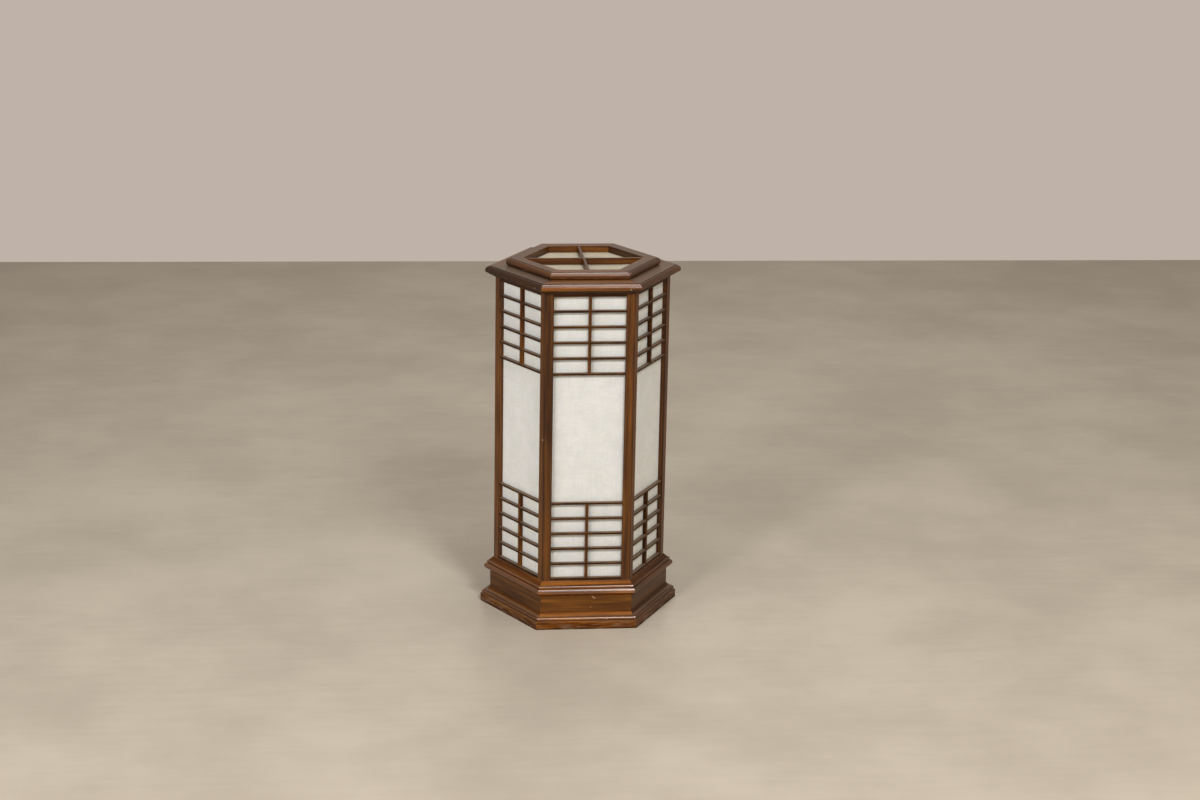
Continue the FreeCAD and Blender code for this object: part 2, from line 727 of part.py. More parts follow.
def bulb(foot):
    sub_part(cylinder("bulb_contact", size.bulb_contact_radius, size.bulb_contact_height, z=foot))
    insulator_low = foot + size.bulb_contact_height
    cap_root = size.bulb_cap_radius - size.bulb_thread_depth
    sub_part(turned_piece("bulb_insulator", [
        Corner(0, 0),
        Corner(size.bulb_contact_radius, 0),
        Corner(cap_root, size.bulb_insulator_height),
        Corner(0, size.bulb_insulator_height),
    ], insulator_low))
    cap_low = insulator_low + size.bulb_insulator_height
    cap_bore = cap_root - size.bulb_cap_wall
    section = [Corner(cap_bore, 0), Corner(cap_root, 0)]
    for turn_number in range(BULB_THREADS):
        root = size.bulb_thread_pitch * (turn_number + 0.5)
        section.append(Corner(cap_root, root))
        section.append(Corner(size.bulb_cap_radius, root + size.bulb_thread_pitch / 2))
    section.append(Corner(cap_root, size.bulb_thread_pitch * (BULB_THREADS + 0.5)))
    section.append(Corner(cap_root, size.bulb_cap_length))
    section.append(Corner(cap_bore, size.bulb_cap_length))
    sub_part(turned_piece("bulb_cap", section, cap_low))
    inner = size.bulb_radius - size.bulb_wall
    sub_part(turned_piece("bulb_globe", [
        Corner(cap_root, 0),
        Round(0, size.bulb_taper, size.bulb_radius, 0, 90),
        Round(0, size.bulb_taper, inner, 90, 0),
        Corner(cap_root - size.bulb_wall, 0),
    ], cap_low + size.bulb_cap_length))


def cord_inlet():
    """The grommet, turned on the Z axis and laid along +X through the board, then set at the rear."""
    barrel_end = size.grommet_flange + size.frieze_thickness
    ring = turned_piece("grommet_ring", [
        Corner(size.inlet_bore, 0),
        Corner(size.grommet_flange_radius, 0),
        Corner(size.grommet_flange_radius, size.grommet_flange),
        Corner(size.grommet_radius, size.grommet_flange),
        Corner(size.grommet_radius, barrel_end),
        Corner(size.grommet_flange_radius, barrel_end),
        Corner(size.grommet_flange_radius, barrel_end + size.grommet_flange),
        Corner(size.inlet_bore, barrel_end + size.grommet_flange),
    ])
    ring.Placement = FreeCAD.Placement(FreeCAD.Vector(), FreeCAD.Rotation(FreeCAD.Vector(0, 1, 0), 90))
    place(ring, frieze_inner - size.grommet_flange, 0, inlet_height)
    sub_part(turned_copy("cord_grommet", ring, STEP * (FACES.index("rear") + 0.5)))


base_moulding()
frieze_boards()
sill_moulding()
cap_moulding()
posts(lattice())
paper_panes()
lid()
bulb(base_and_lampholder())
cord_inlet()
doc.recompute()

for feature in doc.Objects:
    if "Invalid" in feature.State or "Error" in feature.State:
        raise RuntimeError("%s failed: %s" % (feature.Label, feature.State))
for feature in sub_parts:
    if feature.Shape.isNull() or not feature.Shape.isValid() or not feature.Shape.Solids:
        raise RuntimeError("%s has no sound solid" % feature.Label)

os.makedirs("parts", exist_ok=True)
for feature in sub_parts:
    feature.Shape.exportStep("parts/%s.step" % feature.Label)
    print("%-28s %2d solid, %10.1f mm3" % (feature.Label, len(feature.Shape.Solids), feature.Shape.Volume))
print("%d sub-parts" % len(sub_parts))
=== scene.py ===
"""A six-sided table lamp of stained wood and rice paper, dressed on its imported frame. Units are metres."""

import math
import random
from functools import reduce

import bmesh
import bpy
from mathutils import Matrix, Vector, noise


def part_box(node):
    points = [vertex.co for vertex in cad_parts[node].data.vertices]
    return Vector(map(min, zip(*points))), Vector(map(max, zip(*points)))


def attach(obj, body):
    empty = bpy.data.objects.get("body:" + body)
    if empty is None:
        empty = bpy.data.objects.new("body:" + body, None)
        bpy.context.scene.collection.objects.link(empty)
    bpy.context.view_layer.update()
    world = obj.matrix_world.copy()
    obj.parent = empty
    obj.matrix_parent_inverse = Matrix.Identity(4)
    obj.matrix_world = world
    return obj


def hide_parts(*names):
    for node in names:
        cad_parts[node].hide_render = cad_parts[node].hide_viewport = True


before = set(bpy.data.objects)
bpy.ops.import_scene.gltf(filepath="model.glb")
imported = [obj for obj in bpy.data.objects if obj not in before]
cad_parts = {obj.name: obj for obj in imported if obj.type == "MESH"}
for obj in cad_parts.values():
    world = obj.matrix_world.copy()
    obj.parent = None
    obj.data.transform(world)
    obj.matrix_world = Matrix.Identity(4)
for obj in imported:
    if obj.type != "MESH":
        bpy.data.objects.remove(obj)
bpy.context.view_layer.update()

# Sides and corners, counted round from the right, and the lamp's own directions
SIDES = ("rear_right", "rear", "rear_left", "front_left", "front", "front_right")
CORNERS = ("right", "rear_right", "rear_left", "left", "front_left", "front_right")
SIDE_TURN = math.radians(60)
RIGHTWARD = Vector((1, 0, 0))
REARWARD = Vector((0, 1, 0))
UPRIGHT = Vector((0, 0, 1))

# Lattice sizes that the frame's boxes don't give, and the dust with painted sheen on its strips' tops
STRIP_HEIGHT = 0.0034
UPRIGHT_WIDTH = 0.0044
RAIL_HEIGHT = 0.0044
CELL_HEIGHT = 0.02065
STRIP_STUB = 0.002
STRIP_EASE = 0.0006
EASE_POINTS = 2
STRIPS_IN_BAND = 5
LAP_SHAVING = 0.00015
STRIP_DUST_AND_SHEEN = 1.8

# Arrises taken off by hand: how far, how round, and which edges are sharp and long enough
ARRIS_EASE = 0.0005
ARRIS_STEPS = 2
ARRIS_ROUND = 0.5
ARRIS_ANGLE = math.radians(30)
SHORTEST_ARRIS = 0.02
NARROWEST_FLAT = 0.0015
WORN_POLISH = 0.5

# Angles between faces of one flat, steps of one round and smooth corners, and how near points are merged
FLAT_ANGLE = math.radians(0.5)
ROUND_STEP = math.radians(16)
SOFT_ANGLE = math.radians(42)
WELD = 0.000002

# Share of a face's direction along an axis that makes it square on, a top or an underside
SQUARE_ON = 0.96
FACING_UP = 0.85
FACING_DOWN = -0.4
# How much more dust and painted sheen the tops of darker boards get
DUST_AND_SHEEN_ON_DARK = 0.6

# Where a board lay in its tree: along the trunk, aside of the pith and out from it; then seeds of chance
TRUNK_LENGTH = 3.0
PITH_OFF_CENTRE = 0.02
PITH_DEPTH = (0.03, 0.07)
BOARD_SEED = 7
STRIP_SEED = 3
SIDE_SEED = 8

# Paper: cells that it is divided into, the edge that is glued, the cockles' size, and how far it gives
PAPER_CELL = 0.008
GLUED_EDGE = 0.0085
COCKLE_SIZE = 0.055
PANE_SLACK = 0.0006
LID_SLACK = 0.0014
# Thin pulp, thick pulp and fibres, as screen colours
PANE_PAPER = ((219, 219, 215), (231, 230, 227), (237, 237, 236))
DUSTY_PAPER = ((181, 170, 147), (193, 181, 158), (207, 196, 174))
# Size, sway and share of three kinds of fibre, how sharp fibres and pulp are, and the lines of the mould
FIBRES = ((46, 1.6, 0.5), (83, 1.1, 0.4), (140, 0.8, 0.35))
FIBRE_EDGE = (0.002, 0.013)
PULP_EDGE = (0.38, 0.62)
LAID_LINES = (60, 60, 950)
CHAIN_LINES = (650, 650, 40)

# Dents in the wood: place and radius
NICKS = (
    ((0.0100, -0.1205, 0.0483), 0.0013),
    ((0.0112, -0.1205, 0.0465), 0.0014),
    ((0.0136, -0.1205, 0.0455), 0.0012),
    ((-0.0220, -0.1228, 0.0516), 0.0016),
    ((0.0075, -0.1205, 0.0312), 0.0011),
    ((0.0313, -0.1313, 0.0161), 0.0014),
    ((0.0606, -0.0962, 0.5476), 0.0016),
    ((-0.0684, -0.1128, 0.2963), 0.0017),
)
# How ragged the edge of a dent is, and how fine
NICK_RAGGED = 0.0016
NICK_FLECKS = 700.0
# Heights between which the painted contact shadow along the footing and the scuffed face of the foot end
CONTACT_SHADE_TOP = (0.0014, 0.0042)
FOOT_FACE_TOP = (0.0118, 0.0128)

# The photograph's camera, and its frame
PHOTO_WIDTH = 1200
PHOTO_FOCAL = 2451.7
SENSOR_WIDTH = 36.0
EYE = Vector((-0.3604, -3.6072, 1.3792))
EYE_HEADING = math.radians(6.160)
EYE_DROP = math.radians(16.205)
EYE_TILT = math.radians(1.067)

# Floor and light
FLOOR_REACH = 2.356
FLOOR_TURN = math.radians(-0.987)
FLOOR_SHADES = ((186, 174, 157), (205, 193, 175))
FLOOR_BRUSHING = (9, 70, 1)
WALL = (191, 178, 168)
LIGHT_AIM = Vector((0, 0, 0.25))
SKY_STRENGTH = 0.12
NEUTRAL = (255, 255, 255)
WARM_BOUNCE = (255, 244, 219)
# Softboxes: step aside, bearing and rise in degrees, distance, width, height, power in watts, colour
SOFTBOXES = {
    "key": (0, 286.5, 39, 3.6, 0.7, 0.7, 53, NEUTRAL),
    "fill": (0, 236, 31, 3.6, 0.4, 0.4, 36, NEUTRAL),
    "side": (0, 212, 10, 3.2, 2.0, 1.2, 28, NEUTRAL),
    "right": (0, 335, 12, 3.2, 2.0, 1.2, 13, WARM_BOUNCE),
    "top": (0.3, 90, 80, 2.9, 0.35, 4.6, 38, NEUTRAL),
}

# Stains, dark to light, as screen colours, and the tones at which their shades lie
MOULDING_STAIN = ((88, 46, 11), (117, 65, 15), (140, 81, 20), (166, 103, 29))
FRIEZE_STAIN = ((80, 45, 14), (108, 64, 20), (130, 79, 26), (156, 100, 34))
POST_STAIN = ((72, 40, 14), (98, 57, 20), (118, 71, 26), (144, 90, 34))
LATTICE_STAIN = ((70, 38, 12), (96, 55, 18), (116, 69, 23), (142, 88, 31))
STAIN_STOPS = (0.38, 0.478, 0.562, 0.674)
# Each wood's stain, and the shine of the stain under any polish
WOODS = {
    "foot_wood": (MOULDING_STAIN, 0.1),
    "frieze_wood": (FRIEZE_STAIN, 0.22),
    "cap_wood": (MOULDING_STAIN, 0.22),
    "post_wood": (POST_STAIN, 0.24),
    "lid_wood": (MOULDING_STAIN, 0.3),
    "lattice_wood": (LATTICE_STAIN, 0.1),
}
# Patterns in the wood: cells to a metre along, across and through the grain
STREAKS = (7, 520, 520)
BANDS = (11, 190, 190)
BLOTCHES = (5, 42, 42)
PORES = (70, 1900, 1900)
KNOCKS = (50, 360, 360)
GROWTH_RINGS = (0.1, 1, 1)
# Values of a pattern from which pores, scuffs and rubbing begin and are full, and dust on the foot ends
PORE_EDGE = (0.6, 0.74)
SCUFF_EDGE = (0.56, 0.64)
RUB_EDGE = (0.42, 0.68)
FOOT_DUST_EDGE = (0.38, 0.48)
# What lies in and on the stained wood, with the painted shade and painted sheen laid on it: its screen
# colour, and how strongly it shows
FILLED_PORE = ((48, 26, 11), 0.5)
SCUFF = ((46, 25, 14), 0.62)
# Painted shade in crevices, on undersides and along the footing
PAINTED_SHADE = ((24, 13, 8), 0.8)
RUBBED_WOOD = ((172, 116, 62), 0.45)
BARE_DENT = ((196, 160, 120), 0.8)
# Darkest stain, also the painted shade of the side boards
DEEPEST_STAIN_AND_SHADE = (30, 17, 10)
# Grey of dust on the foot, and of dust with a painted sheen on the tops
DUST_AND_SHEEN = (150, 128, 108)
TOP_DUST_AND_SHEEN = 0.3
FOOT_DUST = 0.25
# How much darker some boards are drawn, partly darker stain and partly painted shade on the boards at the
# sides, and the range of the rest
STAIN_AND_SHADE_DEPTH = {
    "base_moulding_front": 0.0,
    "base_moulding_front_left": 0.52,
    "base_moulding_front_right": 0.64,
    "frieze_board_front": 0.16,
    "frieze_board_front_left": 0.58,
    "frieze_board_front_right": 0.62,
    "sill_moulding_front": 0.0,
    "sill_moulding_front_left": 0.38,
    "sill_moulding_front_right": 0.7,
    "cap_moulding_front": 0.3,
    "cap_moulding_front_left": 0.91,
    "cap_moulding_front_right": 0.74,
    "cap_moulding_rear_left": 0.75,
    "cap_moulding_rear_right": 0.75,
    "post_left": 0.14,
    "post_front_left": 0.42,
    "post_front_right": 0.2,
    "post_right": 0.38,
    "lattice_rear_right": 0.76,
    "lattice_rear": 0.82,
    "lattice_rear_left": 0.78,
    "lattice_front_left": 0.86,
    "lattice_front": 0.8,
    "lattice_front_right": 0.88,
    "upright_front_left": 0.16,
    "upright_front": 0.5,
    "upright_front_right": 0.78,
    "lid_rear_right": 0.82,
    "lid_rear": 0.5,
    "lid_rear_left": 0.7,
    "lid_front_left": 0.66,
    "lid_front": 0.34,
    "lid_front_right": 0.7,
    "lid_bar_long": 0.55,
    "lid_bar_cross": 0.75,
}
UNSEEN_DEPTH = (0.3, 0.55)
# Polish on the rounds, painted shade on the undersides, and dust with painted sheen on the tops of each kind
# of moulding
BASE_CARE = (1.0, 0.6, 1.1)
SILL_CARE = (1.0, 0.0, 1.3)
CAP_CARE = (0.35, 0.8, 0.8)
LID_CARE = (0.3, 0.3, 0.5)
BOARD_CARE = (0.0, 0.0, 0.8)

# Finishes of the inner parts, as screen colours: clean, then aged
SOFTWOOD = ((196, 160, 112), (160, 116, 70))
SOFTWOOD_STAIN = (112, 80, 50)
SOFTWOOD_RINGS = (0.15, 1, 1)
SOFTWOOD_FIBRE = (14, 500, 500)
STEEL = ((158, 142, 124), (104, 82, 62))
BRASS = ((214, 176, 104), (140, 104, 56))
BRASS_TURNING = (30, 30, 4200)
BLACK_PLASTIC = ((30, 28, 27), (66, 61, 56))
RUBBER = ((34, 32, 31), (74, 70, 66))
OPAL_GLASS = ((240, 238, 230), (222, 216, 202))


def tint(red, green, blue):
    """A screen colour, 0 to 255, as the linear colour that nodes take."""
    def linear(level):
        level /= 255
        return level / 12.92 if level <= 0.04045 else ((level + 0.055) / 1.055) ** 2.4
    return (linear(red), linear(green), linear(blue), 1.0)


class Wire:
    """One socket of a node tree. Sums on wires add Math nodes."""

    def __init__(self, graph, socket):
        self.graph = graph
        self.socket = socket

    def combine(self, operation, *terms):
        return self.graph.node("ShaderNodeMath", {"operation": operation}, dict(enumerate(terms)))

    def __add__(self, other):
        return self.combine("ADD", self, other)

    def __sub__(self, other):
        return self.combine("SUBTRACT", self, other)

    def __rsub__(self, other):
        return self.combine("SUBTRACT", other, self)

    def __mul__(self, other):
        return self.combine("MULTIPLY", self, other)

    def __abs__(self):
        return self.combine("ABSOLUTE", self)

    def larger(self, other):
        return self.combine("MAXIMUM", self, other)

    def above(self, limit):
        return self.combine("GREATER_THAN", self, limit)

    def below(self, limit):
        return self.combine("LESS_THAN", self, limit)

    __radd__ = __add__
    __rmul__ = __mul__


class Graph:
    """A node tree being wired."""

    def __init__(self, tree):
        self.tree = tree

    def node(self, kind, settings=None, sockets=None, output=0):
        """Add one node: its settings first, then the values or links of its sockets."""
        made = self.tree.nodes.new(kind)
        for name, value in (settings or {}).items():
            if name == "stops":
                self.lay_stops(made.color_ramp, value)
            else:
                setattr(made, name, value)
        for key, value in (sockets or {}).items():
            for part in value if isinstance(value, list) else [value]:
                if isinstance(part, Wire):
                    self.tree.links.new(part.socket, made.inputs[key])
                else:
                    made.inputs[key].default_value = part
        return Wire(self, made.outputs[output]) if made.outputs else None

    @staticmethod
    def lay_stops(ramp, stops):
        while len(ramp.elements) < len(stops):
            ramp.elements.new(1.0)
        for element, (position, colour) in zip(ramp.elements, stops):
            element.position = position
            element.color = colour


class Finish(Graph):
    """A material: pattern nodes, then one shader."""

    def __init__(self, name):
        self.material = bpy.data.materials.new(name)
        self.material.use_nodes = True
        self.material.node_tree.nodes.clear()
        super().__init__(self.material.node_tree)

    def place(self):
        return self.node("ShaderNodeTexCoord", output="Object")

    def attribute(self, name, output="Fac"):
        return self.node("ShaderNodeAttribute", {"attribute_name": name}, output=output)

    def stretch(self, place, factors):
        return self.node("ShaderNodeVectorMath", {"operation": "MULTIPLY"}, {0: place, 1: factors})

    def noise(self, place, detail, scale=1.0, roughness=0.5, distortion=0.0):
        return self.node("ShaderNodeTexNoise", None, {
            "Vector": place, "Scale": scale, "Detail": detail,
            "Roughness": roughness, "Distortion": distortion})

    def between(self, value, low, high):
        """0 below low, 1 above high, smooth between."""
        return self.node("ShaderNodeMapRange", {"interpolation_type": "SMOOTHSTEP"},
                         {"Value": value, "From Min": low, "From Max": high})

    def blend(self, factor, under, over):
        """A colour laid over another by a factor; each is a link or a screen colour."""
        under, over = (part if isinstance(part, Wire) else tint(*part) for part in (under, over))
        return self.node("ShaderNodeMix", {"data_type": "RGBA"}, {0: factor, 6: under, 7: over}, output=2)

    def cover(self, under, where, layer):
        """A layer of a colour and a strength, laid where a mask is 1."""
        colour, strength = layer
        return self.blend(where * strength, under, colour)

    def ramp(self, value, places, shades):
        """Shades at their places along a value."""
        stops = [(place, tint(*shade)) for place, shade in zip(places, shades)]
        return self.node("ShaderNodeValToRGB", {"stops": stops}, {"Fac": value})

    def nicks(self):
        """1 in the small dents where the stain has been knocked off."""
        place = self.place()
        flecks = self.node("ShaderNodeTexNoise", None,
                           {"Vector": place, "Scale": NICK_FLECKS}, output="Color")
        edge = self.node("ShaderNodeVectorMath", {"operation": "ADD"},
                         {0: place, 1: self.stretch(flecks, (NICK_RAGGED,) * 3)})
        dents = []
        for spot, radius in NICKS:
            centre = tuple(part + NICK_RAGGED / 2 for part in spot)
            away = self.node("ShaderNodeVectorMath", {"operation": "DISTANCE"},
                             {0: edge, 1: centre}, output="Value")
            dents.append(1 - self.between(away, radius * 0.5, radius))
        return reduce(Wire.larger, dents)

    def bump(self, height, distance, strength):
        return self.node("ShaderNodeBump", None,
                         {"Height": height, "Distance": distance, "Strength": strength})

    def shade(self, **sockets):
        """End the material in its shader, and give it back."""
        named = {name.replace("_", " "): value for name, value in sockets.items()}
        shader = self.node("ShaderNodeBsdfPrincipled", None, named)
        self.node("ShaderNodeOutputMaterial", None, {"Surface": shader})
        return self.material


def stained_wood(name, shades, gloss):
    """Open-grained hardwood under a reddish brown stain, with painted shade and a dull finish in the hollows
    and on the undersides, and polished on the rounds.
    """
    wood = Finish(name)
    # The grain: growth rings, streaks, bands, blotches of stain and open pores
    grain = wood.attribute("grain", "Vector")
    rings = wood.node(
        "ShaderNodeTexWave", {"wave_type": "RINGS", "rings_direction": "X", "wave_profile": "SIN"},
        {"Vector": wood.stretch(grain, GROWTH_RINGS), "Scale": 46, "Distortion": 7, "Detail": 2,
         "Detail Scale": 1.2, "Detail Roughness": 0.5}, output="Fac")
    streaks = wood.noise(wood.stretch(grain, STREAKS), detail=4, roughness=0.6)
    bands = wood.noise(wood.stretch(grain, BANDS), detail=2, distortion=0.4)
    blotches = wood.noise(wood.stretch(grain, BLOTCHES), detail=2)
    pores = wood.between(wood.noise(wood.stretch(grain, PORES), detail=1), *PORE_EDGE)
    tone = rings * 0.12 + streaks * 0.24 + bands * 0.32 + blotches * 0.32
    stain = wood.ramp(tone, STAIN_STOPS, shades)
    # Each board darker by its own amount: partly its stain, partly painted shade on the side boards
    stain = wood.blend(wood.attribute("depth"), stain, DEEPEST_STAIN_AND_SHADE)
    porous = wood.cover(stain, pores, FILLED_PORE)
    # Low down: a painted contact shadow along the footing, and scuffs and dusty patches on the face of the
    # foot
    lift = wood.node("ShaderNodeSeparateXYZ", None, {0: wood.place()}, output=2)
    contact_shade = 1 - wood.between(lift, *CONTACT_SHADE_TOP)
    foot = 1 - wood.between(lift, *FOOT_FACE_TOP)
    knocks = wood.noise(wood.stretch(grain, KNOCKS), detail=3)
    scuffed = wood.cover(porous, wood.between(knocks, *SCUFF_EDGE) * foot, SCUFF)
    # Painted shade: darker in crevices, on undersides and along the footing, and rougher there
    grime = wood.attribute("grime").larger(contact_shade)
    shaded = wood.cover(scuffed, grime, PAINTED_SHADE)
    foot_dust = (1 - wood.between(knocks, *FOOT_DUST_EDGE)) * foot
    # Dust with painted sheen on the tops, and dust on the face of the foot
    dusty = wood.blend(wood.attribute("dust") * TOP_DUST_AND_SHEEN + foot_dust * FOOT_DUST, shaded, DUST_AND_SHEEN)
    # From hands: rubbed arrises, and dents down to the bare wood
    rub = wood.between(wood.noise(wood.place(), scale=90, detail=3), *RUB_EDGE)
    rubbed = wood.cover(dusty, wood.attribute("worn") * rub, RUBBED_WOOD)
    return wood.shade(
        Base_Color=wood.cover(rubbed, wood.nicks(), BARE_DENT),
        Roughness=0.3 + streaks * 0.14 + grime * 0.4,
        Normal=wood.bump(streaks * 0.5 - pores * 0.6, 0.0001, 0.4),
        Specular_IOR_Level=gloss,
        Coat_Weight=wood.attribute("polish") * (1.1 - streaks * 0.3),
        Coat_Roughness=0.17,
        Coat_IOR=1.9,
    )


def rice_paper(name, thin, thick, fibre):
    """Handmade paper that lets light through: cloudy pulp with long pale fibres across it."""
    paper = Finish(name)
    place = paper.place()
    clouds = paper.noise(place, scale=38, detail=4, roughness=0.6)
    pulp = paper.noise(place, scale=420, detail=3)
    strands = []
    for scale, sway, share in FIBRES:
        thread = paper.noise(place, scale=scale, detail=1.2, distortion=sway)
        strands.append((1 - paper.between(abs(thread - 0.5), *FIBRE_EDGE)) * share)
    fibres = reduce(Wire.__add__, strands)
    laid = paper.noise(paper.stretch(place, LAID_LINES), detail=2)
    chained = paper.noise(paper.stretch(place, CHAIN_LINES), detail=2)
    mottle = clouds * 0.35 + pulp * 0.2 + laid * 0.25 + chained * 0.2
    body = paper.blend(paper.between(mottle, *PULP_EDGE), thin, thick)
    return paper.shade(
        Base_Color=paper.blend(fibres * 0.5, body, fibre),
        Roughness=0.72 - fibres * 0.14,
        Normal=paper.bump(fibres * 0.6 + pulp * 0.4, 0.00022, 0.6),
        Specular_IOR_Level=0.3,
        Subsurface_Weight=1.0,
        Subsurface_Radius=(1.0, 0.92, 0.74),
        Subsurface_Scale=0.00025,
    )


def bare_wood():
    """Unfinished softwood of the hidden blocks, cleats and base board."""
    wood = Finish("bare_softwood")
    place = wood.place()
    rings = wood.node(
        "ShaderNodeTexWave", {"wave_type": "BANDS", "bands_direction": "Y", "wave_profile": "SAW"},
        {"Vector": wood.stretch(place, SOFTWOOD_RINGS), "Scale": 40, "Distortion": 4, "Detail": 2},
        output="Fac")
    fibre = wood.noise(wood.stretch(place, SOFTWOOD_FIBRE), detail=3)
    stain = wood.between(wood.noise(place, scale=14, detail=3), 0.45, 0.75)
    pale = wood.blend(rings * 0.6 + fibre * 0.4, *SOFTWOOD)
    return wood.shade(
        Base_Color=wood.blend(stain * 0.35, pale, SOFTWOOD_STAIN),
        Roughness=0.66 + fibre * 0.2,
        Normal=wood.bump(fibre, 0.0002, 0.5),
    )


def drawn_steel():
    """Brads and wood screws: dull zinc on steel, spotted by age."""
    steel = Finish("dull_steel")
    place = steel.place()
    spots = steel.between(steel.noise(place, scale=900, detail=3), 0.5, 0.7)
    scuff = steel.noise(place, scale=2600, detail=2)
    return steel.shade(
        Base_Color=steel.blend(spots * 0.6, *STEEL),
        Metallic=0.8 - spots * 0.6,
        Roughness=0.38 + scuff * 0.25,
        Normal=steel.bump(scuff, 0.00005, 0.4),
    )


def spun_brass():
    """Screw shell, contacts and bulb cap: brass, tarnished in patches."""
    brass = Finish("spun_brass")
    place = brass.place()
    turning = brass.noise(brass.stretch(place, BRASS_TURNING), detail=2)
    tarnish = brass.between(brass.noise(place, scale=160, detail=4), 0.45, 0.75)
    return brass.shade(
        Base_Color=brass.blend(tarnish * 0.7, *BRASS),
        Metallic=1.0,
        Roughness=0.24 + turning * 0.16 + tarnish * 0.2,
        Normal=brass.bump(turning, 0.00004, 0.4),
    )


def black_moulding():
    """Moulded black plastic of the lampholder, dusty in patches."""
    plastic = Finish("moulded_black_plastic")
    place = plastic.place()
    flow = plastic.noise(place, scale=60, detail=4)
    speck = plastic.noise(place, scale=2400, detail=2)
    return plastic.shade(
        Base_Color=plastic.blend(plastic.between(flow, 0.5, 0.8) * 0.4, *BLACK_PLASTIC),
        Roughness=0.3 + flow * 0.3,
        Normal=plastic.bump(speck, 0.00005, 0.3),
    )


def soft_rubber():
    """Grommet of black rubber, greyed by age."""
    rubber = Finish("aged_rubber")
    place = rubber.place()
    bloom = rubber.between(rubber.noise(place, scale=300, detail=4), 0.42, 0.7)
    pores = rubber.noise(place, scale=3600, detail=2)
    return rubber.shade(
        Base_Color=rubber.blend(bloom * 0.6, *RUBBER),
        Roughness=0.6 + pores * 0.25,
        Normal=rubber.bump(pores, 0.00006, 0.5),
    )


def opal_glass():
    """Milky glass of the bulb, with a faint dusty film."""
    glass = Finish("opal_glass")
    film = glass.between(glass.noise(glass.place(), scale=70, detail=4), 0.4, 0.8)
    return glass.shade(
        Base_Color=glass.blend(film * 0.5, *OPAL_GLASS),
        Roughness=0.12 + film * 0.2,
        Coat_Weight=0.5,
        Coat_Roughness=0.06,
        Subsurface_Weight=0.4,
        Subsurface_Scale=0.004,
    )


def floor_paint():
    """A plain pale floor, very slightly mottled."""
    paint = Finish("pale_floor")
    place = paint.place()
    mottle = paint.noise(place, scale=3.2, detail=5, roughness=0.6)
    brushing = paint.noise(paint.stretch(place, FLOOR_BRUSHING), detail=3)
    tone = paint.between(mottle * 0.85 + brushing * 0.15, 0.3, 0.7)
    return paint.shade(
        Base_Color=paint.blend(tone, *FLOOR_SHADES),
        Roughness=0.55 + mottle * 0.2,
    )


def in_scene(name, data):
    """A new object at the origin."""
    made = bpy.data.objects.new(name, data)
    bpy.context.scene.collection.objects.link(made)
    return made


def stand_in(piece, body, slot, *nodes):
    """Let a piece move with a body, and stand for its CAD nodes."""
    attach(piece, body)
    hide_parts(*nodes)


def outward_of(turn):
    """The level direction at a bearing."""
    return Vector((math.cos(turn), math.sin(turn), 0))


def side_index(place):
    """Which of the six sides a place lies in."""
    return int(math.atan2(place.y, place.x) % math.tau / SIDE_TURN)


def own_axes(along, outward):
    """Rows that turn a place in the lamp into a board's own along, across and through."""
    return Matrix((along, along.cross(outward), outward))


def side_axes(index):
    """Axes of a board that lies along one side of the lamp."""
    outward = outward_of(SIDE_TURN * (index + 0.5))
    return own_axes(UPRIGHT.cross(outward), outward)


def bare_copy(node, side=None):
    """A merged copy of a CAD solid, or only of its length along one side."""
    shape = bmesh.new()
    shape.from_mesh(bpy.data.objects[node].data)
    if side is not None:
        others = [face for face in shape.faces
                  if side_index(face.calc_center_median() - face.normal * ARRIS_EASE) != side]
        bmesh.ops.delete(shape, geom=others, context="FACES")
    for layers in (shape.loops.layers, shape.edges.layers, shape.faces.layers):
        for stale in (layers.float, layers.float_vector, layers.int, layers.bool):
            for layer in stale.values():
                stale.remove(layer)
    bmesh.ops.remove_doubles(shape, verts=shape.verts, dist=WELD)
    bmesh.ops.dissolve_limit(shape, angle_limit=FLAT_ANGLE, verts=shape.verts, edges=shape.edges)
    return shape


def stain_and_shade_depth(board, dice):
    """How much darker a board is drawn, partly stain and partly painted shade: as seen, or by chance on the
    boards that face away.
    """
    chance = dice.uniform(*UNSEEN_DEPTH)
    return STAIN_AND_SHADE_DEPTH.get(board, chance)


def ease_arrises(shape, care, darker):
    """Take off the long sharp edges, and mark what is worn, what is polished by hands, where shade is
    painted in crevices and on undersides, and which tops are dusty and given a painted sheen.
    """
    shine, underside_shade, top_dust_and_sheen = care
    shine *= 1 - darker
    marks = ("worn", "grime", "dust", "polish")
    worn, grime, dust, polish = (shape.faces.layers.float.new(mark) for mark in marks)
    arrises = []
    for edge in shape.edges:
        if not edge.is_manifold or edge.calc_length() < SHORTEST_ARRIS:
            continue
        bend = edge.calc_face_angle()
        if bend < ARRIS_ANGLE:
            if FLAT_ANGLE < bend < ROUND_STEP and edge.is_convex:
                for face in edge.link_faces:
                    face[polish] = shine
            continue
        narrow = [face for face in edge.link_faces
                  if face.calc_area() / edge.calc_length() < NARROWEST_FLAT]
        # Narrow faces: dust and painted sheen if they face up, painted shade in the crevice if not
        for face in narrow:
            face[dust if face.normal.z > FACING_UP else grime] = 1.0
        if edge.is_convex and not narrow:
            arrises.append(edge)
    eased = bmesh.ops.bevel(shape, geom=arrises, offset=ARRIS_EASE, offset_type="OFFSET",
                            segments=ARRIS_STEPS, profile=ARRIS_ROUND, affect="EDGES", clamp_overlap=True)
    for face in eased["faces"]:
        face[worn] = 1.0
        face[polish] = WORN_POLISH * shine
    # Painted shade on the undersides; dust and painted sheen on the tops
    for face in shape.faces:
        if face.normal.z < FACING_DOWN:
            face[grime] = underside_shade
        elif face.normal.z > FACING_UP and not face[polish]:
            face[dust] = top_dust_and_sheen * (1 + DUST_AND_SHEEN_ON_DARK * (darker - 0.5))


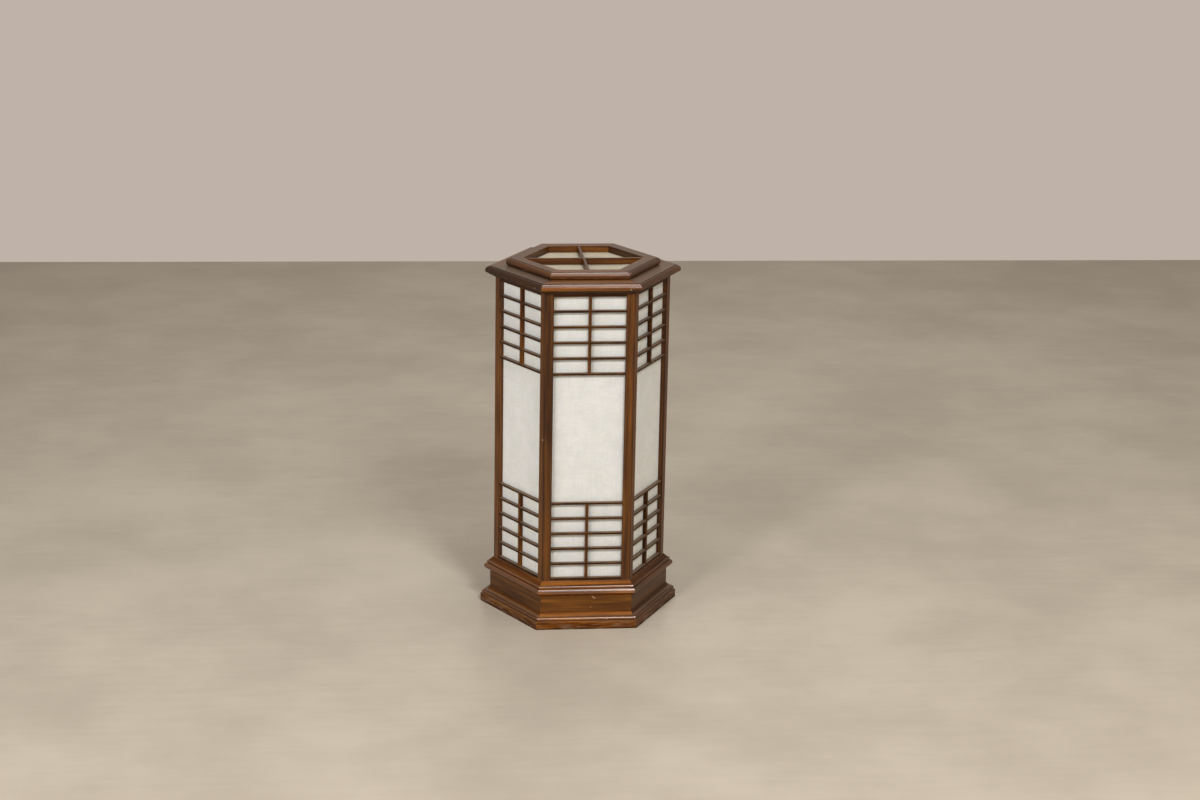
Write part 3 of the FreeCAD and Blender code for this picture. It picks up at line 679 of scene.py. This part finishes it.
def lay_grain(shape, axes, darker, dice):
    """Give each point its place in the tree that the board was sawn from, and how much darker it is drawn,
    partly stain and partly painted shade.
    """
    grain = shape.verts.layers.float_vector.new("grain")
    depth = shape.verts.layers.float.new("depth")
    middle = sum((vert.co for vert in shape.verts), Vector()) / len(shape.verts)
    log_place = Vector((
        dice.uniform(0, TRUNK_LENGTH),
        dice.uniform(-PITH_OFF_CENTRE, PITH_OFF_CENTRE),
        dice.uniform(*PITH_DEPTH),
    ))
    for vert in shape.verts:
        vert[grain] = axes @ (vert.co - middle) + log_place
        vert[depth] = darker


def soft_normals(shape):
    """Corner normals that round the eased arrises and leave the flats flat."""
    shape.normal_update()
    limit = math.cos(SOFT_ANGLE)
    areas = {face: face.calc_area() for face in shape.faces}
    normals = []
    for face in shape.faces:
        for corner in face.loops:
            near = [other for other in corner.vert.link_faces if other.normal.dot(face.normal) > limit]
            normals.append(sum((other.normal * areas[other] for other in near), Vector()).normalized())
    return normals


def mesh_of(shape, name, material):
    """Turn a worked shape into a piece at the origin."""
    normals = soft_normals(shape)
    mesh = bpy.data.meshes.new(name)
    shape.to_mesh(mesh)
    shape.free()
    mesh.shade_smooth()
    mesh.normals_split_custom_set(normals)
    mesh.materials.append(material)
    return in_scene(name, mesh)


def worked_board(node, axes, finish, care, body, dice):
    """One board or moulding: eased, with the grain along it."""
    shape = bare_copy(node)
    darker = stain_and_shade_depth(node, dice)
    ease_arrises(shape, care, darker)
    lay_grain(shape, axes, darker, dice)
    stand_in(mesh_of(shape, node + "_eased", finish), body, "stained_wood", node)


def woodwork(woods, dice):
    """Mouldings, friezes and posts of the lantern."""
    finishes = {
        "base_moulding": (woods["foot_wood"], BASE_CARE),
        "frieze_board": (woods["frieze_wood"], BOARD_CARE),
        "sill_moulding": (woods["foot_wood"], SILL_CARE),
        "cap_moulding": (woods["cap_wood"], CAP_CARE),
    }
    for index, side in enumerate(SIDES):
        for name, (finish, care) in finishes.items():
            worked_board("%s_%s" % (name, side), side_axes(index), finish, care, "lantern", dice)
    for index, corner in enumerate(CORNERS):
        axes = own_axes(UPRIGHT, outward_of(SIDE_TURN * index))
        worked_board("post_" + corner, axes, woods["post_wood"], BOARD_CARE, "lantern", dice)


def lid_woodwork(finish, dice):
    """The lid's six mitred lengths and its two crossing bars."""
    ring = bmesh.new()
    for index, side in enumerate(SIDES):
        length = bare_copy("lid_frame", index)
        darker = stain_and_shade_depth("lid_" + side, dice)
        ease_arrises(length, LID_CARE, darker)
        lay_grain(length, side_axes(index), darker, dice)
        joined = bpy.data.meshes.new("lid_length")
        length.to_mesh(joined)
        length.free()
        ring.from_mesh(joined)
        bpy.data.meshes.remove(joined)
    stand_in(mesh_of(ring, "lid_frame_eased", finish), "lid", "stained_wood", "lid_frame")
    worked_board("lid_bar_long", own_axes(RIGHTWARD, UPRIGHT), finish, LID_CARE, "lid", dice)
    worked_board("lid_bar_cross", own_axes(REARWARD, UPRIGHT), finish, LID_CARE, "lid", dice)


def paper_sheet(node, axes, finish, slack, body):
    """Paper glued by its edges: slack and cockled between them, away from the wood that it lies on."""
    shape = bare_copy(node)
    along, across, outward = axes
    area = max(face.calc_area() for face in shape.faces)
    rims = [(face.normal.copy(), face.verts[0].co.copy()) for face in shape.faces
            if abs(face.normal.dot(outward)) < SQUARE_ON]
    for row in (along, across):
        reach = [vert.co.dot(row) for vert in shape.verts]
        first, size = min(reach), max(reach) - min(reach)
        cells = round(size / PAPER_CELL)
        for step in range(1, cells):
            whole = shape.verts[:] + shape.edges[:] + shape.faces[:]
            bmesh.ops.bisect_plane(shape, geom=whole, dist=WELD, plane_no=row,
                                   plane_co=row * (first + size * step / cells))
    for vert in shape.verts:
        inside = min(normal.dot(edge - vert.co) for normal, edge in rims)
        free = min(max(inside - GLUED_EDGE, 0) / COCKLE_SIZE, 1)
        place = vert.co - outward * vert.co.dot(outward)
        give = (1 + noise.noise(place / COCKLE_SIZE)) / 2
        vert.co -= outward * slack * give * free * free * (3 - 2 * free)
    piece = mesh_of(shape, node + "_sheet", finish)
    stand_in(piece, body, "paper", node)


def paperwork():
    """The six panes behind the lattices, and the sheet under the lid's bars."""
    pane = rice_paper("rice_paper", *PANE_PAPER)
    for index, side in enumerate(SIDES):
        paper_sheet("paper_pane_" + side, side_axes(index), pane, PANE_SLACK, "lantern")
    dusty = rice_paper("dusty_rice_paper", *DUSTY_PAPER)
    paper_sheet("lid_paper", own_axes(RIGHTWARD, UPRIGHT), dusty, LID_SLACK, "lid")


class LatticeTree(Graph):
    """Geometry nodes that lay out the lattice of all six sides."""

    SIZES = ("Strip Length", "Strip Height", "Strip Depth", "Rail Length", "Rail Height", "Upright Width",
             "Shaving", "Ease", "Apothem", "Low", "High", "Pitch", "Stub")

    def __init__(self):
        super().__init__(bpy.data.node_groups.new("lattice", "GeometryNodeTree"))
        self.inputs = {name: self.add_socket(name, "INPUT", "NodeSocketFloat") for name in self.SIZES}
        self.inputs["Strips"] = self.add_socket("Strips", "INPUT", "NodeSocketInt")
        self.inputs["Wood"] = self.add_socket("Wood", "INPUT", "NodeSocketMaterial")
        self.add_socket("Geometry", "OUTPUT", "NodeSocketGeometry")
        self.given = self.node("NodeGroupInput").socket.node
        self.lay_out()

    def add_socket(self, name, direction, kind):
        return self.tree.interface.new_socket(name, in_out=direction, socket_type=kind).identifier

    def size(self, name):
        return Wire(self, self.given.outputs[name])

    def point(self, x=0.0, y=0.0, z=0.0):
        return self.node("ShaderNodeCombineXYZ", None, {0: x, 1: y, 2: z})

    def parts(self, vector):
        """The x, y and z of a vector."""
        split = self.node("ShaderNodeSeparateXYZ", None, {0: vector}).socket.node
        return [Wire(self, output) for output in split.outputs]

    def store(self, geometry, name, kind, domain, value):
        return self.node("GeometryNodeStoreNamedAttribute", {"data_type": kind, "domain": domain},
                         {"Geometry": geometry, "Name": name, "Value": value})

    def named(self, name):
        return self.node("GeometryNodeInputNamedAttribute", {"data_type": "FLOAT_VECTOR"}, {"Name": name})

    def stick(self, length, across, deep, upright=False):
        """A straight stick with eased edges, through the origin, its grain, its wear and its dusty tops with
        painted sheen stored on it.
        """
        axis = "z" if upright else "y"
        path = self.node("GeometryNodeCurvePrimitiveLine", None, {
            "Start": self.point(**{axis: length * -0.5}), "End": self.point(**{axis: length * 0.5})})
        path = self.node("GeometryNodeSetCurveNormal", {"mode": "Z_UP"}, {"Curve": path})
        section = self.node("GeometryNodeCurvePrimitiveQuadrilateral", None,
                            {"Width": deep, "Height": across})
        section = self.node("GeometryNodeFilletCurve", {"mode": "POLY"},
                            {"Curve": section, "Count": EASE_POINTS, "Radius": self.size("Ease")})
        stick = self.node("GeometryNodeCurveToMesh", None,
                          {"Curve": path, "Profile Curve": section, "Fill Caps": True})
        x, y, z = self.parts(self.node("GeometryNodeInputPosition"))
        grain = self.point(z, y, x) if upright else self.point(y, z, x)
        stick = self.store(stick, "grain", "FLOAT_VECTOR", "POINT", grain)
        facing = self.node("GeometryNodeInputNormal")
        lean = self.parts(self.node("ShaderNodeVectorMath", {"operation": "ABSOLUTE"}, {0: facing}))
        rounded = reduce(Wire.larger, lean).below(SQUARE_ON)
        stick = self.store(stick, "worn", "FLOAT", "FACE", rounded)
        # Dust with painted sheen on the tops of the strips
        dusty = self.parts(facing)[2].above(FACING_UP) * STRIP_DUST_AND_SHEEN
        return self.store(stick, "dust", "FLOAT", "FACE", dusty)

    def row(self, stick, first_height, count, step):
        """Copies of a stick, one above another, each from its own place in the tree."""
        line = self.node("GeometryNodeMeshLine", None, {
            "Count": count, "Start Location": self.point(z=first_height), "Offset": self.point(z=step)})
        laid = self.node("GeometryNodeInstanceOnPoints", None, {"Points": line, "Instance": stick})
        return self.shuffled(laid, "board", STRIP_SEED)

    def shuffled(self, instances, name, seed):
        """Give each copy a place of its own in the tree."""
        nearest, furthest = PITH_DEPTH
        spread = self.node("FunctionNodeRandomValue", {"data_type": "FLOAT_VECTOR"}, {
            0: (0.0, -PITH_OFF_CENTRE, nearest),
            1: (TRUNK_LENGTH, PITH_OFF_CENTRE, furthest),
            "Seed": seed})
        return self.store(instances, name, "FLOAT_VECTOR", "INSTANCE", spread)

    def one_side(self):
        """Two bands of strips with an upright each, and the rails above and below."""
        low, high, pitch = self.size("Low"), self.size("High"), self.size("Pitch")
        rail, height, deep = self.size("Rail Height"), self.size("Strip Height"), self.size("Strip Depth")
        strips, stub, shaving = self.size("Strips"), self.size("Stub"), self.size("Shaving")
        reach = pitch * strips
        length = reach + stub - shaving
        strip = self.stick(self.size("Strip Length"), height, deep)
        rail_stick = self.stick(self.size("Rail Length"), rail, deep)
        standing = self.stick(length, self.size("Upright Width"), deep - shaving * 2, upright=True)
        low_edge, high_edge = low + rail, high - rail
        rows = [
            self.row(strip, low_edge + pitch - height * 0.5, strips, pitch),
            self.row(strip, high_edge - reach + height * 0.5, strips, pitch),
            self.row(rail_stick, low + rail * 0.5, 2, high - low - rail),
            self.row(standing, low_edge - stub + length * 0.5, 1, pitch),
            self.row(standing, high_edge - reach + shaving + length * 0.5, 1, pitch),
        ]
        side = self.node("GeometryNodeJoinGeometry", None, {"Geometry": rows})
        side = self.node("GeometryNodeRealizeInstances", None, {"Geometry": side})
        return self.node("GeometryNodeTransform", None,
                         {"Geometry": side, "Translation": self.point(x=self.size("Apothem"))})

    def lay_out(self):
        """The side, turned six times round the lamp."""
        places = self.node("GeometryNodeMeshLine", None, {"Count": len(SIDES), "Offset": (0, 0, 0)})
        turn = (self.node("GeometryNodeInputIndex") + 0.5) * SIDE_TURN
        sides = self.node("GeometryNodeInstanceOnPoints", None,
                          {"Points": places, "Instance": self.one_side(), "Rotation": self.point(z=turn)})
        sides = self.shuffled(sides, "log", SIDE_SEED)
        whole = self.node("GeometryNodeRealizeInstances", None, {"Geometry": sides})
        grain = self.named("grain")
        for part in ("board", "log"):
            grain = self.node("ShaderNodeVectorMath", {"operation": "ADD"}, {0: grain, 1: self.named(part)})
        whole = self.store(whole, "grain", "FLOAT_VECTOR", "POINT", grain)
        whole = self.node("GeometryNodeSetMaterial", None,
                          {"Geometry": whole, "Material": self.size("Wood")})
        self.node("NodeGroupOutput", None, {"Geometry": whole})


def darken_sides(shape, dice):
    """Set how much darker the strips and the upright of each side are drawn, partly stain and partly painted
    shade.
    """
    strips = [stain_and_shade_depth("lattice_" + side, dice) for side in SIDES]
    uprights = [stain_and_shade_depth("upright_" + side, dice) for side in SIDES]
    depth = shape.verts.layers.float.new("depth")
    for vert in shape.verts:
        index = side_index(vert.co)
        along = UPRIGHT.cross(outward_of(SIDE_TURN * (index + 0.5)))
        mid_side = abs(vert.co.dot(along)) < UPRIGHT_WIDTH
        vert[depth] = (uprights if mid_side else strips)[index]


def lattice(finish, dice):
    """Strips, uprights and rails of all six sides, in one mesh."""
    corner_low, corner_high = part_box("lattice_front")
    length = corner_high.x - corner_low.x
    sizes = {
        "Strip Length": length,
        "Strip Height": STRIP_HEIGHT,
        "Strip Depth": corner_high.y - corner_low.y,
        "Rail Length": length - 2 * STRIP_STUB,
        "Rail Height": RAIL_HEIGHT,
        "Upright Width": UPRIGHT_WIDTH,
        "Shaving": LAP_SHAVING,
        "Ease": STRIP_EASE,
        "Apothem": -(corner_low.y + corner_high.y) / 2,
        "Low": corner_low.z,
        "High": corner_high.z,
        "Pitch": CELL_HEIGHT + STRIP_HEIGHT,
        "Stub": STRIP_STUB,
        "Strips": STRIPS_IN_BAND,
        "Wood": finish,
    }
    tree = LatticeTree()
    holder = in_scene("lattice_layout", bpy.data.meshes.new("lattice_layout"))
    layout = holder.modifiers.new("lattice", "NODES")
    layout.node_group = tree.tree
    for name, value in sizes.items():
        layout[tree.inputs[name]] = value
    depsgraph = bpy.context.evaluated_depsgraph_get()
    laid = bpy.data.meshes.new_from_object(holder.evaluated_get(depsgraph))
    bpy.data.objects.remove(holder)
    shape = bmesh.new()
    shape.from_mesh(laid)
    darken_sides(shape, dice)
    stand_in(mesh_of(shape, "lattice_eased", finish), "lantern", "stained_wood",
             *("lattice_" + side for side in SIDES))


def dress_nodes():
    """Give the CAD nodes that stay in sight their materials."""
    finishes = (
        (bare_wood(), ("base_board", "glue_blocks", "lid_cleats")),
        (spun_brass(), ("lampholder_shell", "lampholder_contact", "bulb_contact", "bulb_cap")),
        (drawn_steel(), ("cap_brads", "wood_screws")),
        (black_moulding(), ("lampholder_body", "bulb_insulator")),
        (soft_rubber(), ("cord_grommet",)),
        (opal_glass(), ("bulb_globe",)),
    )
    for finish, nodes in finishes:
        for node in nodes:
            for slot in bpy.data.objects[node].material_slots:
                slot.material = finish


def stage_floor():
    """A square floor, its far edge across the camera's view."""
    shape = bmesh.new()
    bmesh.ops.create_grid(shape, x_segments=1, y_segments=1, size=FLOOR_REACH)
    bmesh.ops.rotate(shape, verts=shape.verts, matrix=Matrix.Rotation(FLOOR_TURN, 3, "Z"))
    mesh = bpy.data.meshes.new("floor")
    shape.to_mesh(mesh)
    shape.free()
    mesh.materials.append(floor_paint())
    floor = in_scene("floor", mesh)


def softbox(name, aside, bearing, rise, distance, width, height, power, colour):
    """A soft light, aimed at the lamp or a step aside of it."""
    lamp = bpy.data.lights.new(name, "AREA")
    lamp.shape = "RECTANGLE"
    lamp.size = width
    lamp.size_y = height
    lamp.energy = power
    lamp.color = tint(*colour)[:3]
    bearing, rise = math.radians(bearing), math.radians(rise)
    away = outward_of(bearing) * math.cos(rise) + UPRIGHT * math.sin(rise)
    box = in_scene(name, lamp)
    box.location = LIGHT_AIM + RIGHTWARD * aside + away * distance
    box.rotation_euler = (-away).to_track_quat("-Z", "Y").to_euler()


def studio_sky():
    """An even pale surround; the camera, metal and glass see it as a plain wall."""
    world = bpy.data.worlds.new("studio")
    world.use_nodes = True
    world.node_tree.nodes.clear()
    sky = Graph(world.node_tree)
    rays = ("Is Camera Ray", "Is Glossy Ray", "Is Transmission Ray")
    seen = reduce(Wire.larger, [sky.node("ShaderNodeLightPath", output=ray) for ray in rays])
    wall = sky.node("ShaderNodeBackground", None, {"Color": tint(*WALL), "Strength": 1.0})
    light = sky.node("ShaderNodeBackground", None, {"Color": tint(*WARM_BOUNCE), "Strength": SKY_STRENGTH})
    both = sky.node("ShaderNodeMixShader", None, {0: seen, 1: light, 2: wall})
    sky.node("ShaderNodeOutputWorld", None, {"Surface": both})
    bpy.context.scene.world = world


def photograph_camera():
    """The camera where the photograph was taken from."""
    right = Vector((math.cos(EYE_HEADING), -math.sin(EYE_HEADING), 0))
    level = Vector((math.sin(EYE_HEADING), math.cos(EYE_HEADING), 0))
    ahead = level * math.cos(EYE_DROP) - UPRIGHT * math.sin(EYE_DROP)
    above = level * math.sin(EYE_DROP) + UPRIGHT * math.cos(EYE_DROP)
    across = right * math.cos(EYE_TILT) + above * math.sin(EYE_TILT)
    up = above * math.cos(EYE_TILT) - right * math.sin(EYE_TILT)
    lens = bpy.data.cameras.new("camera")
    lens.sensor_fit = "HORIZONTAL"
    lens.sensor_width = SENSOR_WIDTH
    lens.lens = SENSOR_WIDTH * PHOTO_FOCAL / PHOTO_WIDTH
    camera = in_scene("camera", lens)
    camera.matrix_world = Matrix.Translation(EYE) @ Matrix((across, up, -ahead)).transposed().to_4x4()
    bpy.context.scene.camera = camera


dice = random.Random(BOARD_SEED)
woods = {name: stained_wood(name, shades, gloss) for name, (shades, gloss) in WOODS.items()}
woodwork(woods, dice)
lid_woodwork(woods["lid_wood"], dice)
lattice(woods["lattice_wood"], dice)
paperwork()
dress_nodes()
stage_floor()
for name, setting in SOFTBOXES.items():
    softbox(name, *setting)
studio_sky()
photograph_camera()
bpy.context.scene.view_settings.view_transform = "Standard"
